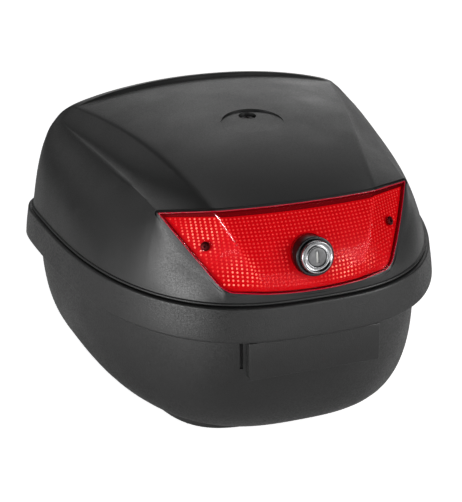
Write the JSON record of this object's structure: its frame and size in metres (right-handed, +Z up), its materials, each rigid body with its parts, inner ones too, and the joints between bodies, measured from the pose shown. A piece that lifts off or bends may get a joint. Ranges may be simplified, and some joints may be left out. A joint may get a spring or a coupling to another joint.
{
  "type": "top case",
  "caption": "Lockable luggage box with a hinged domed lid, wraparound red reflector and a docking foot.",
  "frame": {"origin": "middle of the whole case in plan, on the surface that the docking frame stands on", "axes": "+Z up, X across the case (its plane of symmetry is X = 0), -Y towards the lock and reflector, +Y towards the hinges"},
  "size_m": [0.4084, 0.4039, 0.2813],
  "materials": {
    "shell_plastic": "satin moulded charcoal with fine grain",
    "red_lens": "clear gloss red",
    "red_reflector": "prismatic red",
    "dark_chrome": "polished die casting",
    "lock_black": "black coated die casting",
    "zinc_steel": "zinc plated",
    "rubber": "matt black",
    "red_plastic": "satin red"
  },
  "bodies": {
    "base": {"lower_shell": "shell_plastic", "docking_frame": "shell_plastic", "docking_screw_1": "zinc_steel", "docking_screw_2": "zinc_steel", "docking_screw_3": "zinc_steel", "docking_screw_4": "zinc_steel", "rim_seal": "rubber", "floor_mat": "rubber", "keeper_bracket": "zinc_steel", "keeper_screw_left": "zinc_steel", "keeper_screw_right": "zinc_steel", "hinge_bracket_left": "shell_plastic", "hinge_bracket_right": "shell_plastic", "hinge_pin_left": "zinc_steel", "hinge_pin_right": "zinc_steel", "hinge_screw_left_inner": "zinc_steel", "hinge_screw_left_outer": "zinc_steel", "hinge_screw_right_inner": "zinc_steel", "hinge_screw_right_outer": "zinc_steel", "lever_bracket": "zinc_steel", "lever_pin": "zinc_steel", "lever_screw_left": "zinc_steel", "lever_screw_right": "zinc_steel", "dock_bolt_spring": "zinc_steel"},
    "lid": {"lid_shell": "shell_plastic", "reflector_lens": "red_lens", "reflector_plate": "red_reflector", "lens_screw_left": "lock_black", "lens_screw_right": "lock_black", "top_recess_screw": "lock_black", "lock_housing": "lock_black", "lock_wedge_washer": "shell_plastic", "lock_nut": "zinc_steel", "latch_frame": "zinc_steel", "latch_pin": "zinc_steel", "lid_hinge_arm_left": "shell_plastic", "lid_hinge_arm_right": "shell_plastic", "lid_arm_screw_left": "zinc_steel", "lid_arm_screw_right": "zinc_steel", "lock_spring": "zinc_steel"},
    "lock_barrel": {"lock_button": "dark_chrome"},
    "lock_cylinder": {"lock_plug": "dark_chrome", "lock_cam": "zinc_steel"},
    "latch": {"latch_hook": "zinc_steel"},
    "release_lever": {"dock_release_lever": "red_plastic"},
    "docking_bolt": {"dock_bolt": "zinc_steel"}
  },
  "joints": [
    {"name": "lid_hinge", "type": "hinge", "parent": "base", "child": "lid", "pos_m": [0, 0.1974, 0.1645], "axis": [-1, 0, 0], "range_deg": [0, 82]},
    {"name": "lock_push", "type": "slide", "parent": "lid", "child": "lock_barrel", "axis": [0, 0.9744, -0.225], "range_m": [0, 0.0045], "stiffness_N_per_m": 900, "springref_m": -0.002, "deforming": ["lock_spring"]},
    {"name": "lock_turn", "type": "hinge", "parent": "lock_barrel", "child": "lock_cylinder", "pos_m": [0, -0.1983, 0.1997], "axis": [0, 0.9744, -0.225], "range_deg": [0, 90]},
    {"name": "latch_swing", "type": "hinge", "parent": "lid", "child": "latch", "pos_m": [0, -0.15064, 0.16612], "axis": [-1, 0, 0], "range_deg": [0, 14]},
    {"name": "release_swing", "type": "hinge", "parent": "base", "child": "release_lever", "pos_m": [0, -0.0122, 0.022], "axis": [-1, 0, 0], "range_deg": [0, 40], "stiffness_Nm_per_rad": 0.05},
    {"name": "bolt_slide", "type": "slide", "parent": "base", "child": "docking_bolt", "axis": [0, 1, 0], "range_m": [0, 0.009], "deforming": ["dock_bolt_spring"]}
  ],
  "couplings": [
    {"joint": "latch_swing", "follows": "lock_push", "rad_per_m": 45},
    {"joint": "bolt_slide", "follows": "release_swing", "m_per_rad": 0.0115}
  ]
}
